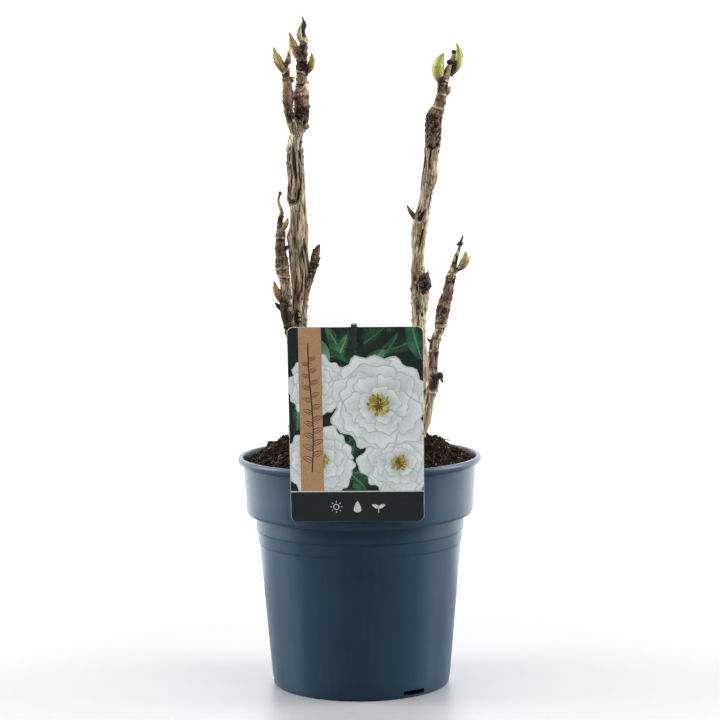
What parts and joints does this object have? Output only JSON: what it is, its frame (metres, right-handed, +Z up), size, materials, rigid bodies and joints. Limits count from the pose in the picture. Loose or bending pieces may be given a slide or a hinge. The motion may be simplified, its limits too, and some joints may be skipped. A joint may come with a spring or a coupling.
{
  "type": "potted tree peony",
  "caption": "Bare winter tree peony with upright woody stems and swelling buds, in a round nursery pot filled with peat, with a plant label hooked on a stake.",
  "frame": {"origin": "centre of the pot's flat underside, where it stands", "axes": "+Z up; -Y towards the label, the picture's front; +X to the right seen from the front"},
  "size_m": [0.17, 0.1915, 0.464],
  "materials": {
    "pot": "satin blue-grey moulded plastic",
    "peat": "moist dark brown peat with fibres",
    "label_card": "printed plastic card, semi-gloss",
    "label_stake": "dark green-black moulded plastic",
    "bark": "old bark, dull and fibrous",
    "young_growth": "grey-brown young bark and green-brown buds"
  },
  "bodies": {
    "root": {"pot": "pot", "soil": "peat", "label_card": "label_card", "label_stake": "label_stake", "left_stem": "bark", "left_side_bough": "bark", "right_stem": "bark", "low_stem": "bark", "left_fork_twigs": "young_growth", "left_top_twigs": "young_growth", "left_side_twigs": "young_growth", "left_spur_twigs": "young_growth", "right_top_twigs": "young_growth", "low_stem_twigs": "young_growth"}
  },
  "joints": []
}
